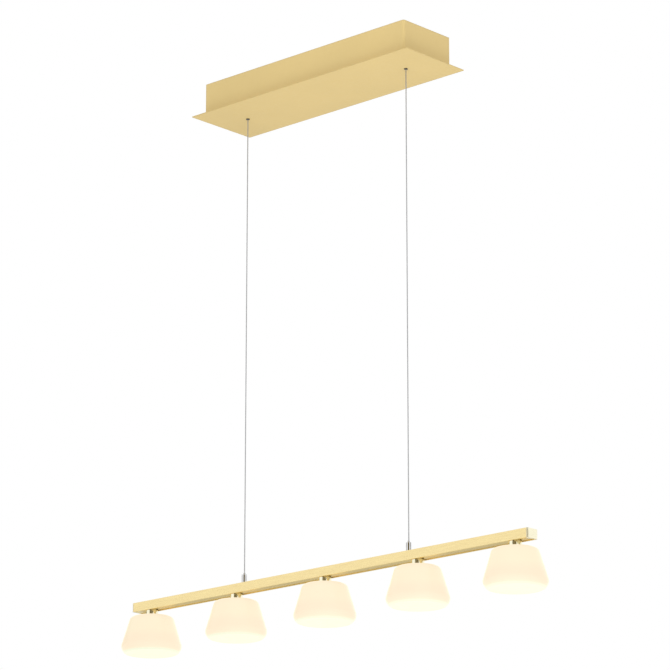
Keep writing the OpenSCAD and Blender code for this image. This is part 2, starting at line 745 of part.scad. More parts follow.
// Spring between the stud and the cage
module gripper_spring(side) {
  low = stud_up + spring_wire_d / 2;
  high = cage_from - spring_wire_d / 2;
  coil_r = (cable_bore_r + cage_r) / 2 + 0.1;
  last = spring_turns * spring_steps;
  color("dimgray") at_cable(side) translate([0, 0, bar_z]) wire(
    [for (k = [0:last]) [coil_r * cos(360 * k / spring_steps), coil_r * sin(360 * k / spring_steps),
      low + (high - low) * k / last]],
    spring_wire_d, spring_sides, [1, 0, 0.1]
  );
}

// Extruded profile: a channel open below, with two lips that carry the cover strip
module bar_profile() {
  half = bar_w / 2;
  color("burlywood") difference() {
    translate([-profile_l / 2, 0, bar_z]) rotate([90, 0, 90]) linear_extrude(profile_l) polygon([
      [-half, 0], [half, 0], [half, -bar_h], [slot_half, -bar_h], [slot_half, -bar_h + lip_t],
      [inner_half, -bar_h + lip_t], [inner_half, -bar_wall], [-inner_half, -bar_wall],
      [-inner_half, -bar_h + lip_t], [-slot_half, -bar_h + lip_t], [-slot_half, -bar_h], [-half, -bar_h]
    ]);
    for (side = [LEFT, RIGHT]) at_cable(side) translate([0, 0, bar_z - bar_wall - past])
      cylinder(h = bar_wall + 2 * past, r = stud_r + hole_gap);
  }
}

// Cover strip that slides in on the lips and carries the shades
module bar_cover() {
  width = 2 * (inner_half - fit_gap);
  length = profile_l - 2 * plug_l - 2 * fit_gap;
  color("burlywood") difference() {
    translate([-length / 2, -width / 2, cover_z]) cube([length, width, cover_t]);
    for (i = [1:SHADES]) at_shade(i) translate([0, 0, cover_z - past])
      cylinder(h = cover_t + 2 * past, r = nipple_r + hole_gap);
  }
}

// End cap: a plate with rounded upright edges and a hollow plug inside the profile
module end_cap(side) {
  half = bar_w / 2;
  face = profile_l / 2;
  top = bar_z - bar_wall - fit_gap;
  low = cover_z + fit_gap;
  wide = inner_half - fit_gap;
  corner_r = min(end_cap_r, end_cap_t - merge);
  color("gold") scale([side, 1, 1]) {
    translate([face, 0, bar_under_z]) linear_extrude(bar_h) {
      translate([0, -half]) square([end_cap_t - corner_r, bar_w]);
      translate([0, -half + corner_r]) square([end_cap_t, bar_w - 2 * corner_r]);
      intersection() {
        translate([0, -half]) square([end_cap_t, bar_w]);
        for (y = [-1, 1]) translate([end_cap_t - corner_r, y * (half - corner_r)]) circle(corner_r);
      }
    }
    difference() {
      translate([face - plug_l, -wide, low]) cube([plug_l + merge, 2 * wide, top - low]);
      translate([face - plug_l - past, -wide + plug_wall, low + plug_wall])
        cube([plug_l + past, 2 * (wide - plug_wall), top - low - 2 * plug_wall]);
    }
  }
}

// Leads in the bar: two trunks along the walls, each fed by one cable, and two leads down every nipple
module bar_harness() {
  trunk_z = bar_z - bar_wall - trunk_down;
  trunk_y = inner_half - trunk_in - trunk_d / 2;
  beside_y = trunk_y - (trunk_d + drop_lead_d) / 2 - fit_gap;
  over_y = (nipple_bore_d + fit_gap) / 2;
  drop_y = drop_lead_gap / 2;
  reach = shade_x(SHADES) + trunk_past;
  low_z = board_z + wire_gap;
  top_z = cover_top_z + nipple_nut_h + nipple_end;
  color("dimgray") {
    for (y = [-1, 1]) translate([-reach, y * trunk_y, trunk_z]) rotate([0, 90, 0])
      cylinder(h = 2 * reach, d = trunk_d);
    for (i = [1:SHADES], y = [-1, 1]) at_shade(i) wire(smooth_route([
      [-drop_from, y * beside_y, trunk_z],
      [-drop_from / 2, y * (beside_y - fit_gap), trunk_z + fit_gap],
      [-drop_from / 14, y * over_y, (trunk_z + top_z) / 2 + nipple_end],
      [0, y * drop_y, top_z - drop_straight / 6], [0, y * drop_y, top_z - drop_straight],
      [0, y * drop_y, low_z + drop_straight], [0, y * drop_y, low_z]
    ], thin_lead_steps), drop_lead_d, thin_lead_sides, [1, 0, 0.1]);
    for (side = [LEFT, RIGHT]) at_cable(side) wire(smooth_route([
      [0, 0, cable_low_z - wire_gap], [0, 0, cable_low_z - 0.375 * link_step],
      [-side * 0.25 * link_step, side * 0.375 * link_step, cable_low_z - 0.8 * link_step],
      [-side * link_step, side * 1.125 * link_step, cable_low_z - 0.75 * link_step],
      [-side * 2 * link_step, side * (beside_y - 2 * fit_gap), trunk_z - 0.15 * link_step],
      [-side * 3 * link_step, side * beside_y, trunk_z], [-side * 4 * link_step, side * beside_y, trunk_z]
    ], thin_lead_steps), drop_lead_d, thin_lead_sides, [1, 0.1, 0]);
  }
}

// Threaded hollow nipples from inside the bar down into the lamp holders
module hollow_nipples() {
  top_z = cover_top_z + nipple_nut_h + nipple_end;
  low_z = holder_z - nipple_in_holder;
  color("silver") for (i = [1:SHADES]) at_shade(i) translate([0, 0, low_z]) difference() {
    cylinder(h = top_z - low_z, r = nipple_r);
    translate([0, 0, -past]) cylinder(h = top_z - low_z + 2 * past, d = nipple_bore_d);
  }
}

module nipple_nuts() {
  color("silver") for (i = [1:SHADES]) at_shade(i) translate([0, 0, cover_top_z])
    hex_nut(nipple_nut_af, nipple_nut_h, nipple_r + thread_gap);
}

// Silicone rings above and below the glass crown
module shade_gaskets() {
  color("whitesmoke") for (i = [1:SHADES], z = [crown_z, crown_z - glass_t - gasket_t]) at_shade(i)
    translate([0, 0, z]) difference() {
      cylinder(h = gasket_t, r = gasket_out_r);
      translate([0, 0, -past]) cylinder(h = gasket_t + 2 * past, r = gasket_in_r);
    }
}

// Turned brass cap between the bar and the glass
module shade_cap(i) {
  seat_z = crown_z + gasket_t;
  rim_z = seat_z - gasket_seat_deep;
  seat_r = gasket_out_r + fit_gap;
  color("gold") at_shade(i) rotate_extrude() polygon([
    [nipple_r + hole_gap, cover_z], [cap_boss_r, cover_z], [cap_boss_r, bar_under_z],
    [cap_d / 2 - edge_cut, bar_under_z], [cap_d / 2, bar_under_z - edge_cut], [cap_d / 2, rim_z],
    [seat_r, rim_z], [seat_r, seat_z], [nipple_r + hole_gap, seat_z]
  ]);
}

// Outline of the glass, from the crown's hole out, down and in to the opening below
shade_corners = [
  [crown_hole_r, 0], [crown_r, 0], [shoulder_r, -shoulder_drop], [widest_r, widest_up - shade_h],
  [lip_r, -shade_h], [open_r, -shade_h]
];
shade_rounds = [0, 0, shoulder_round, widest_round, lip_round, 0];

function shade_run(inset) =
  let (
    p = shade_corners,
    q = [for (k = [1:4]) inset == 0 ? p[k] : inset_corner(p[k - 1], p[k], p[k + 1], inset)],
    start = [p[0][0], -inset],
    stop = [p[5][0], -shade_h + inset]
  )
  concat(
    [start, q[0]],
    arc_points(q[0], q[1], q[2], shade_rounds[2] - inset),
    arc_points(q[1], q[2], q[3], shade_rounds[3] - inset),
    arc_points(q[2], q[3], stop, shade_rounds[4] - inset),
    [stop]
  );

module glass_shade(i) {
  outer = shade_run(0);
  inner = shade_run(glass_t);
  back = [for (k = [len(inner) - 1:-1:0]) inner[k]];
  color("seashell") at_shade(i) translate([0, 0, crown_z])
    rotate_extrude($fn = glass_sides) polygon(concat(outer, back));
}

// Opal diffuser: its rim rests on the turned-in glass, its face fills the opening
module diffuser(i) {
  face_z = crown_z - shade_h + diffuser_in;
  seat_z = crown_z - shade_h + glass_t;
  color("ivory") at_shade(i) rotate_extrude($fn = glass_sides) polygon([
    [0, face_z], [open_r - soft_gap, face_z], [open_r - soft_gap, seat_z],
    [open_r + diffuser_seat, seat_z], [open_r + diffuser_seat, seat_z + diffuser_t],
    [0, seat_z + diffuser_t]
  ]);
}

// Ribbed aluminium lamp holder, threaded on the nipple, with a neck under the gasket and a floor
module led_holder(i) {
  holder_r = holder_d / 2;
  rib_pitch = (holder_h - rib_t) / rib_count;
  color("silver") at_shade(i) difference() {
    union() {
      translate([0, 0, board_z]) cylinder(h = holder_h, r = holder_r);
      translate([0, 0, board_z]) cylinder(h = holder_h + neck_h, r = gasket_out_r);
    }
    translate([0, 0, holder_z - nipple_in_holder - fit_gap])
      cylinder(h = nipple_in_holder + fit_gap + past, r = nipple_r + thread_gap);
    translate([0, 0, board_z + holder_floor]) cylinder(h = holder_h, d = nipple_bore_d);
    for (y = [-1, 1]) translate([0, y * drop_lead_gap / 2, board_z - past])
      cylinder(h = holder_floor + 2 * past, d = drop_lead_d + 2 * fit_gap);
    for (k = [0:rib_count - 1]) translate([0, 0, board_z + rib_t + k * rib_pitch]) difference() {
      cylinder(h = rib_pitch - rib_t, r = holder_r + past);
      translate([0, 0, -past]) cylinder(h = rib_pitch - rib_t + 2 * past, r = holder_r - rib_deep);
    }
  }
}

// Round lamp boards with a ring of chips facing down
module led_boards() {
  color("white") for (i = [1:SHADES]) at_shade(i) translate([0, 0, board_z - board_t]) {
    cylinder(h = board_t, r = board_r);
    for (k = [1:chip_count]) rotate([0, 0, k * 360 / chip_count])
      translate([board_r * chip_ring - chip_w / 2, -chip_w / 2, -chip_t])
        cube([chip_w, chip_w, chip_t + merge]);
  }
}

ceiling_bracket();
mains_grommet();
terminal_block();
terminal_screws();
earth_screw();
canopy_box();
canopy_plate();
canopy_nuts();
canopy_screws();
led_driver();
driver_input_leads();
earth_lead();
output_lead_left();
output_lead_right();
cable_bushing(LEFT);  // cable_bushing_left
cable_bushing(RIGHT);  // cable_bushing_right
bushing_nuts();
cable_stop(LEFT);  // cable_stop_left
cable_stop(RIGHT);  // cable_stop_right
suspension_cable(LEFT);  // suspension_cable_left
suspension_cable(RIGHT);  // suspension_cable_right
bar_profile();
bar_cover();
end_cap(LEFT);  // end_cap_left
end_cap(RIGHT);  // end_cap_right
gripper_body(LEFT);  // gripper_body_left
gripper_body(RIGHT);  // gripper_body_right
gripper_studs();
gripper_spring(LEFT);  // gripper_spring_left
gripper_spring(RIGHT);  // gripper_spring_right
gripper_plunger(LEFT);  // gripper_plunger_left
gripper_plunger(RIGHT);  // gripper_plunger_right
gripper_balls(LEFT);  // gripper_balls_left
gripper_balls(RIGHT);  // gripper_balls_right
bar_harness();
hollow_nipples();
nipple_nuts();
shade_gaskets();
led_boards();
for (i = [1:SHADES]) {
  shade_cap(i);
  glass_shade(i);
  diffuser(i);
  led_holder(i);
}
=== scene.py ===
import json
import math

import bpy
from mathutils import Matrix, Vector


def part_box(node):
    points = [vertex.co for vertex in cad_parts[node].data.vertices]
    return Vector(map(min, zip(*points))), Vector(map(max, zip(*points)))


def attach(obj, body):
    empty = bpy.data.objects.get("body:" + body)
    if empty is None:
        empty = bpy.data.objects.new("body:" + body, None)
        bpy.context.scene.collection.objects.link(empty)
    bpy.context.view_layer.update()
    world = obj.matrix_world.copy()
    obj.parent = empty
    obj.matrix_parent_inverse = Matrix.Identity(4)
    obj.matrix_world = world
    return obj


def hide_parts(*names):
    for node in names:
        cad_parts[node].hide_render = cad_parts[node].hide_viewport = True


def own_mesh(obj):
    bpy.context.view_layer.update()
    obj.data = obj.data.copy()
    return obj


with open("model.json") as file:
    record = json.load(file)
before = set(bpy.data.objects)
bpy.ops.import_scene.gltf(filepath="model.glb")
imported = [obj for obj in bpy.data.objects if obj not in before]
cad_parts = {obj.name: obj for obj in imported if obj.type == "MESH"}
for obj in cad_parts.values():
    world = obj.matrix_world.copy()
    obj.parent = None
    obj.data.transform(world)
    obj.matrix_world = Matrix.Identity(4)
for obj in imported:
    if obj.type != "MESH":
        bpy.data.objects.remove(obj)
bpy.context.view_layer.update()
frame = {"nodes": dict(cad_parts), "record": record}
NODES = frame["nodes"]

# Lengths are in metres and angles in degrees, but the lens and its sensor are in millimetres

# The photograph's camera
CAMERA_PLACE = Vector((4.0286, -4.3473, -2.2365))
CAMERA_YAW = 42.644
CAMERA_RISE = 16.008
CAMERA_LENS = 179.7
SENSOR_WIDTH = 36.0
VIEW_END = 100.0

# The studio
WORLD_LIGHT = 0.79
FLOOR_Z = -2.6
FLOOR_SIZE = 40.0
FLOOR_COLOURS = ((0.82, 0.82, 0.82), (0.83, 0.83, 0.83))
LAMP_SIZE = 2.4
# Each lamp's place, the point that it faces, and its power in watts
LAMPS = {
    "soft_key": ((2.2, -2.6, 0.9), (0, 0, -0.3), 26),
    "soft_low": ((1.4, -1.2, -2.45), (1.4, -1.2, 0), 58),
}
# Cards that polished metal shows as its dark lines: how far round from the camera, and half the width
DARK_CARDS = {"front": (-13, 32), "right": (69, 13), "back": (-130, 20)}
CARD_AWAY = 5.0
CARD_ELEVATIONS = (4, 26)
CARD_COLOURS = ((0.18, 0.13, 0.045), (0.205, 0.15, 0.055))

# The glass, with the radii and heights of the frame's own solids
SHADE_COUNT = 5
GLASS_T = 0.003
CROWN_HOLE_R = 0.0056
CROWN_R = 0.013
SHOULDER_R = 0.0405
SHOULDER_DROP = 0.0045
WIDEST_R = 0.058
WIDEST_UP = 0.012
LIP_R = 0.0515
OPEN_R = 0.046
# Radii of its rounded corners on the outside, from the crown down, and of the rim's two edges
ROUNDS = {"crown": 0.004, "shoulder": 0.009, "widest": 0.014, "lip": 0.007}
ROUND_STEPS = 10
RIM_ROUND = 0.001
RIM_STEPS = 5
LATHE_SIDES = 144

# The cables
CABLE_R = 0.001
CABLE_STRANDS = 6
STRAND_POINTS = 4
CABLE_GROOVE = 0.07  # how deep the strands' grooves are, as a share of the radius
CABLE_LAY = 0.016  # how far along the cable a strand goes once round it
CABLE_RING_STEP = 0.0016
EXIT_GAP = 0.00025  # between the end held in the bushing and the part that sways

# Shading of meshes: edges that turn more than this stay sharp
SHARP_ANGLE = 40
CABLE_SHARP_ANGLE = 60


def aim(obj, target):
    """Turns a lamp, card or camera so that it looks at a point."""
    direction = Vector(target) - obj.location
    obj.rotation_mode = "QUATERNION"
    obj.rotation_quaternion = direction.to_track_quat("-Z", "Y")


def link(obj):
    bpy.context.scene.collection.objects.link(obj)
    return obj


def upright_box(name):
    """A node's box: the middle of its plan, its bottom and its top."""
    low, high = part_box(name)
    return (low.x + high.x) / 2, (low.y + high.y) / 2, low.z, high.z


def build_camera():
    data = bpy.data.cameras.new("photo_camera")
    data.lens = CAMERA_LENS
    data.sensor_width = SENSOR_WIDTH
    data.clip_end = VIEW_END
    camera = link(bpy.data.objects.new("photo_camera", data))
    camera.location = CAMERA_PLACE
    yaw, rise = math.radians(CAMERA_YAW), math.radians(CAMERA_RISE)
    forward = Vector((-math.sin(yaw) * math.cos(rise), math.cos(yaw) * math.cos(rise), math.sin(rise)))
    aim(camera, CAMERA_PLACE + forward)
    bpy.context.scene.camera = camera


# Materials

class Shader:
    """A material's node tree, with short calls for what repeats."""

    def __init__(self, name):
        self.material = bpy.data.materials.new(name)
        self.material.use_nodes = True
        self.tree = self.material.node_tree
        self.principled = self.tree.nodes["Principled BSDF"]
        self.place = None

    def node(self, kind, **values):
        made = self.tree.nodes.new(kind)
        for key, value in values.items():
            setattr(made, key, value)
        return made

    def join(self, output, socket):
        self.tree.links.new(output, socket)

    def set(self, **values):
        """Sets the shader's own sockets by their names: coat_weight is the socket Coat Weight."""
        for key, value in values.items():
            socket = key.replace("_", " ").title().replace("Ior", "IOR")
            self.principled.inputs[socket].default_value = value

    def coordinates(self, stretch=(1, 1, 1)):
        """Object coordinates, in metres, times a factor for each axis."""
        if self.place is None:
            self.place = self.node("ShaderNodeTexCoord")
        mapping = self.node("ShaderNodeMapping")
        mapping.inputs["Scale"].default_value = stretch
        self.join(self.place.outputs["Object"], mapping.inputs["Vector"])
        return mapping.outputs["Vector"]

    def noise(self, scale, detail=3.0, roughness=0.5, stretch=(1, 1, 1)):
        made = self.node("ShaderNodeTexNoise")
        made.inputs["Scale"].default_value = scale
        made.inputs["Detail"].default_value = detail
        made.inputs["Roughness"].default_value = roughness
        self.join(self.coordinates(stretch), made.inputs["Vector"])
        return made.outputs["Fac"]

    def spread(self, output, low, high, start=0.3, end=0.7):
        """Maps a texture's usual values, from start to end, to the range from low to high."""
        made = self.node("ShaderNodeMapRange")
        made.inputs["From Min"].default_value = start
        made.inputs["From Max"].default_value = end
        made.inputs["To Min"].default_value = low
        made.inputs["To Max"].default_value = high
        self.join(output, made.inputs["Value"])
        return made.outputs["Result"]

    def ramp(self, output, stops):
        """A colour that follows a texture, by (value, colour) stops."""
        made = self.node("ShaderNodeValToRGB")
        elements = made.color_ramp.elements
        while len(elements) < len(stops):
            elements.new(0.5)
        for k, (value, colour) in enumerate(stops):
            elements[k].position = value
            elements[k].color = (*colour, 1)
        self.join(output, made.inputs["Fac"])
        return made.outputs["Color"]

    def two_colours(self, output, first, second, start=0.35, end=0.65, socket="Base Color"):
        colour = self.ramp(output, [(start, first), (end, second)])
        self.join(colour, self.principled.inputs[socket])

    def height_steps(self, steps):
        """A colour that changes with height, by (height, colour) steps, lowest first."""
        low, high = steps[0][0], steps[-1][0]
        parts = self.node("ShaderNodeSeparateXYZ")
        self.join(self.coordinates(), parts.inputs[0])
        share = self.spread(parts.outputs["Z"], 0, 1, low, high)
        return self.ramp(share, [((height - low) / (high - low), colour) for height, colour in steps])

    def rough(self, output, low, high):
        self.join(self.spread(output, low, high), self.principled.inputs["Roughness"])

    def bumps(self, *layers, soft_edge=0.0):
        """Adds (height output, depth) layers. Edges look rounded by soft_edge."""
        normal = None
        if soft_edge:
            rounded = self.node("ShaderNodeBevel", samples=6)
            rounded.inputs["Radius"].default_value = soft_edge
            normal = rounded.outputs["Normal"]
        for output, depth in layers:
            bump = self.node("ShaderNodeBump")
            bump.inputs["Distance"].default_value = depth
            self.join(output, bump.inputs["Height"])
            if normal is not None:
                self.join(normal, bump.inputs["Normal"])
            normal = bump.outputs["Normal"]
        self.join(normal, self.principled.inputs["Normal"])


def shade_of(colour, share):
    return tuple(min(1.0, part * share) for part in colour)


def canopy_paint():
    """Satin gold lacquer: slight clouds, a soft orange peel, fine flake and soft corners."""
    gold = (0.745, 0.566, 0.241)
    paint = Shader("canopy_gold_lacquer")
    paint.set(metallic=0.15, specular_ior_level=0.4)
    clouds = paint.noise(scale=7, detail=4)
    gloss = paint.noise(scale=160)
    peel = paint.noise(scale=420, detail=2)
    flake = paint.noise(scale=2600, detail=2)
    paint.two_colours(clouds, shade_of(gold, 0.975), shade_of(gold, 1.02))
    paint.rough(gloss, 0.48, 0.58)
    paint.bumps((peel, 0.00003), (flake, 0.00001), soft_edge=0.003)
    return paint.material


def brushed_brass(name, brass):
    """Brass brushed along the bar, under clear lacquer."""
    along = (1, 45, 45)
    metal = Shader(name)
    metal.set(metallic=1.0, anisotropic=0.55, coat_weight=0.15, coat_roughness=0.12)
    metal.set(specular_tint=(1.0, 0.90, 0.58, 1))
    streaks = metal.noise(scale=22, detail=5, roughness=0.6, stretch=along)
    scratches = metal.noise(scale=75, detail=4, roughness=0.6, stretch=along)
    waves = metal.noise(scale=9)
    metal.two_colours(streaks, shade_of(brass, 0.93), shade_of(brass, 1.05))
    metal.rough(scratches, 0.20, 0.36)
    metal.bumps((scratches, 0.000012), (waves, 0.00001))
    return metal.material


def polished_brass(name, brass):
    """Turned and polished brass, with faint cloth marks."""
    metal = Shader(name)
    metal.set(metallic=1.0)
    tarnish = metal.noise(scale=60, detail=4)
    cloth_marks = metal.noise(scale=240, detail=4, roughness=0.6)
    turning = metal.noise(scale=900, detail=2, stretch=(1, 1, 6))
    metal.two_colours(tarnish, shade_of(brass, 0.97), shade_of(brass, 1.02))
    metal.rough(cloth_marks, 0.13, 0.21)
    metal.bumps((turning, 0.000004))
    return metal.material


def plain_metal(name, colour, roughness, grain=300, stretch=(1, 1, 1), depth=0.00001, metallic=1.0):
    """Plated, rolled or turned metal. The grain is the scale of its marks."""
    metal = Shader(name)
    metal.set(metallic=metallic)
    clouds = metal.noise(scale=grain / 6, detail=4)
    marks = metal.noise(scale=grain, detail=4, roughness=0.6, stretch=stretch)
    fine_marks = metal.noise(scale=grain * 2, stretch=stretch)
    metal.two_colours(clouds, shade_of(colour, 0.92), shade_of(colour, 1.05))
    metal.rough(marks, *roughness)
    metal.bumps((fine_marks, depth))
    return metal.material


def moulded(name, colour, roughness=(0.35, 0.5), grain=1500, depth=0.00002, subsurface=0.0):
    """Moulded plastic, rubber or insulation, with a fine eroded grain."""
    plastic = Shader(name)
    plastic.set(subsurface_weight=subsurface)
    clouds = plastic.noise(scale=35, detail=4)
    gloss = plastic.noise(scale=grain / 4)
    erosion = plastic.noise(scale=grain, detail=2)
    plastic.two_colours(clouds, shade_of(colour, 0.94), shade_of(colour, 1.03))
    plastic.rough(gloss, *roughness)
    plastic.bumps((erosion, depth))
    return plastic.material


def striped_lead(name, first, second):
    """Insulation of one colour with a stripe of another that turns round the lead."""
    lead = Shader(name)
    wave = lead.node("ShaderNodeTexWave", wave_type="BANDS", bands_direction="DIAGONAL")
    wave.inputs["Scale"].default_value = 60
    wave.inputs["Distortion"].default_value = 1.5
    lead.join(lead.coordinates(), wave.inputs["Vector"])
    gloss = lead.noise(scale=300)
    grain = lead.noise(scale=1500, detail=2)
    lead.two_colours(wave.outputs["Fac"], first, second, start=0.48, end=0.52)
    lead.rough(gloss, 0.35, 0.5)
    lead.bumps((grain, 0.00002))
    return lead.material


def opal(name, body, glow, strength):
    """Lit opal glass with faint clouds. The glow is one colour or a list of height_steps."""
    glass = Shader(name)
    glass.set(ior=1.5, specular_ior_level=0.12, emission_strength=strength)
    clouds = glass.noise(scale=18)
    gloss = glass.noise(scale=90)
    waves = glass.noise(scale=45, detail=2)
    polish = glass.noise(scale=700, detail=2)
    glass.two_colours(clouds, shade_of(body, 0.96), body)
    if isinstance(glow, list):
        clouded = glass.node("ShaderNodeMix", data_type="RGBA", blend_type="MULTIPLY")
        factor, colour, dimming = (clouded.inputs[k] for k in (0, 6, 7))
        factor.default_value = 1.0
        glass.join(glass.height_steps(glow), colour)
        glass.join(glass.spread(clouds, 0.985, 1.0), dimming)
        glass.join(clouded.outputs[2], glass.principled.inputs["Emission Color"])
    else:
        glass.two_colours(clouds, shade_of(glow, 0.985), glow, socket="Emission Color")
    glass.rough(gloss, 0.26, 0.36)
    glass.bumps((waves, 0.00008), (polish, 0.000006))
    return glass.material


def bell_glow():
    """The light in a shade: greenish white at the lower edge, and peach with cream at half height above."""
    low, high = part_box("glass_shade_1")
    peach, cream, edge = (0.995, 0.838, 0.617), (0.995, 0.878, 0.635), (0.915, 0.955, 0.725)
    steps = [(0, edge), (0.028, edge), (0.05, cream), (0.09, peach), (0.35, peach), (0.55, cream),
             (0.8, cream), (1, peach)]
    return [(low.z + share * (high.z - low.z), colour) for share, colour in steps]


# What each of the record's material slots looks like
MATERIALS = {
    "gold_paint": canopy_paint(),
    "brushed_brass": brushed_brass("bar_brushed_brass", (0.985, 0.790, 0.400)),
    "polished_brass": polished_brass("cap_polished_brass", (0.98, 0.93, 0.70)),
    "chrome_plate": plain_metal("gripper_chrome", (0.82, 0.83, 0.85), (0.04, 0.09), 500, depth=0.000003),
    "zinc_steel": plain_metal("zinc_plated_steel", (0.66, 0.67, 0.69), (0.28, 0.45), 260),
    "crimp_steel": plain_metal("crimped_steel", (0.62, 0.62, 0.64), (0.25, 0.40), 400),
    "cable_steel": plain_metal("cable_strands", (0.45, 0.45, 0.46), (0.5, 0.65), 500, metallic=0.5),
    "spring_steel": plain_metal("spring_steel", (0.48, 0.48, 0.50), (0.18, 0.30), 800),
    "brass_screws": plain_metal("machined_brass", (0.80, 0.62, 0.30), (0.18, 0.30), 400),
    "cast_aluminium": plain_metal("turned_aluminium", (0.78, 0.78, 0.80), (0.25, 0.42), 350, (1, 1, 8)),
    "black_rubber": moulded("black_rubber", (0.03, 0.03, 0.03), (0.55, 0.7)),
    "black_plastic": moulded("black_plastic", (0.035, 0.035, 0.04), (0.3, 0.45)),
    "white_plastic": moulded("white_plastic", (0.80, 0.80, 0.77), (0.38, 0.5)),
    "clear_silicone": moulded("clear_silicone", (0.78, 0.78, 0.76), (0.3, 0.4), subsurface=0.3),
    "white_board": moulded("white_board", (0.88, 0.88, 0.86), (0.3, 0.4), 2500, 0.00001),
    "brown_lead": moulded("brown_insulation", (0.16, 0.07, 0.03)),
    "red_lead": moulded("red_insulation", (0.45, 0.03, 0.025)),
    "black_lead": moulded("black_insulation", (0.03, 0.03, 0.03)),
    "earth_green_lead": striped_lead("earth_insulation", (0.06, 0.30, 0.05), (0.75, 0.68, 0.08)),
    "opal_glass": opal("opal_glass", (0.15, 0.13, 0.11), bell_glow(), 0.85),
    "opal_diffuser": opal("opal_diffuser", (0.15, 0.15, 0.13), (0.915, 0.945, 0.685), 0.85),
}
# The cover strip under the bar gets a darker, duller brass than the bar: painted shade on the bar's
# underside
OWN_MATERIALS = {"bar_cover": brushed_brass("cover_brass_painted_shade", (0.80, 0.67, 0.41))}

# How far the edges of the frame's folded, extruded and moulded pieces are rounded
EDGE_ROUND = {
    "canopy_box": 0.0005,
    "canopy_plate": 0.0004,
    "ceiling_bracket": 0.0002,
    "bar_profile": 0.0003,
    "bar_cover": 0.0002,
    "led_driver": 0.0005,
    "terminal_block": 0.0004,
}
EDGE_SEGMENTS = 3
WELD_REACH = 0.000002
FLAT_ANGLE = 0.5  # faces that turn less than this become one
FACE_WEIGHT = 100  # the largest, so that broad faces lead the shading


def round_edges(node, width):
    weld = node.modifiers.new("weld", "WELD")
    weld.merge_threshold = WELD_REACH
    flat = node.modifiers.new("flat", "DECIMATE")
    flat.decimate_type = "DISSOLVE"
    flat.angle_limit = math.radians(FLAT_ANGLE)
    bevel = node.modifiers.new("edges", "BEVEL")
    bevel.width = width
    bevel.segments = EDGE_SEGMENTS
    bevel.limit_method = "ANGLE"
    bevel.angle_limit = math.radians(SHARP_ANGLE)
    even = node.modifiers.new("even", "WEIGHTED_NORMAL")
    even.weight = FACE_WEIGHT


def dress_frame():
    """Gives every node of the frame its material, and rounds the edges of some."""
    for part in frame["record"]["subparts"]:
        name, slot = part["node"], part["material_slot"]
        node = NODES[name]
        node.data.materials.clear()
        node.data.materials.append(OWN_MATERIALS.get(name, MATERIALS[slot]))
        if name in EDGE_ROUND:
            round_edges(node, EDGE_ROUND[name])


def soften_springs():
    """Gives each gripper's spring a mesh of its own."""
    for side in ("left", "right"):
        name, joint = f"gripper_spring_{side}", f"release_{side}"
        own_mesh(NODES[name])


# Pieces made here

def mesh_piece(name, points, faces, slot, body, sharp_angle):
    mesh = bpy.data.meshes.new(name)
    mesh.from_pydata(points, [], faces)
    mesh.validate()
    mesh.shade_smooth()
    mesh.set_sharp_from_angle(angle=math.radians(sharp_angle))
    piece = link(bpy.data.objects.new(name, mesh))
    mesh.materials.append(MATERIALS[slot])
    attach(piece, body)
    return piece


def lathe(outline, centre):
    """Turns a closed outline of (radius, height) points round an upright axis at centre."""
    sides = LATHE_SIDES
    points = []
    for radius, height in outline:
        for k in range(sides):
            angle = 2 * math.pi * k / sides
            points.append((centre.x + radius * math.cos(angle), centre.y + radius * math.sin(angle),
                           centre.z + height))
    faces = []
    for ring in range(len(outline)):
        low, high = ring * sides, (ring + 1) % len(outline) * sides
        for k in range(sides):
            after = (k + 1) % sides
            faces.append([low + k, low + after, high + after, high + k])
    return points, faces


def in_threes(points):
    """Each corner of an outline with its neighbours; the two ends have no turn of their own."""
    return zip(points, points[1:], points[2:])


def round_corner(before, corner, after, radius, steps=ROUND_STEPS):
    """Points of an arc of that radius in the corner of an outline."""
    one, two = (before - corner).normalized(), (after - corner).normalized()
    half = one.angle(two) / 2
    centre = corner + (one + two).normalized() * radius / math.sin(half)
    reach = radius / math.tan(half)
    start, end = corner + one * reach - centre, corner + two * reach - centre
    turn = start.angle(end)
    side = 1 if start.x * end.y - start.y * end.x > 0 else -1
    first = math.atan2(start.y, start.x)
    return [centre + radius * Vector((math.cos(first + side * turn * k / steps),
                                      math.sin(first + side * turn * k / steps))) for k in range(steps + 1)]


def inset(before, corner, after, depth):
    """The corner moved in by depth from both of its sides."""
    one, two = (before - corner).normalized(), (after - corner).normalized()
    return corner + (one + two).normalized() * depth / math.sin(one.angle(two) / 2)


def rounded(corners, radii):
    """The outline from its first corner on, with arcs in all the others but the last, which is left out."""
    arcs = [corners[0]]
    for three, radius in zip(in_threes(corners), radii):
        arcs += round_corner(*three, radius)
    return arcs


def bell_outline(height):
    """Closed outline of the glass: down the outside, round the rim and up the inside."""
    outside = [Vector(corner) for corner in (
        (CROWN_HOLE_R, 0), (CROWN_R, 0), (SHOULDER_R, -SHOULDER_DROP), (WIDEST_R, WIDEST_UP - height),
        (LIP_R, -height), (OPEN_R, -height),
    )]
    inside = [Vector((CROWN_HOLE_R, -GLASS_T)), *(inset(*three, GLASS_T) for three in in_threes(outside)),
              Vector((OPEN_R, GLASS_T - height))]
    outside_radii = list(ROUNDS.values())
    inside_radii = [ROUNDS["crown"], *(ROUNDS[name] - GLASS_T for name in ("shoulder", "widest", "lip"))]
    rim = [outside[-2], outside[-1], inside[-1], inside[-2]]
    rim_arcs = [point for three in in_threes(rim) for point in round_corner(*three, RIM_ROUND, RIM_STEPS)]
    return [*rounded(outside, outside_radii), *rim_arcs, *reversed(rounded(inside, inside_radii))]


def build_shades():
    for i in range(1, SHADE_COUNT + 1):
        x, y, bottom, top = upright_box(f"glass_shade_{i}")
        points, faces = lathe(bell_outline(top - bottom), Vector((x, y, top)))
        bell = mesh_piece(f"opal_bell_{i}", points, faces, "opal_glass", "luminaire", SHARP_ANGLE)
        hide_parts(f"glass_shade_{i}")


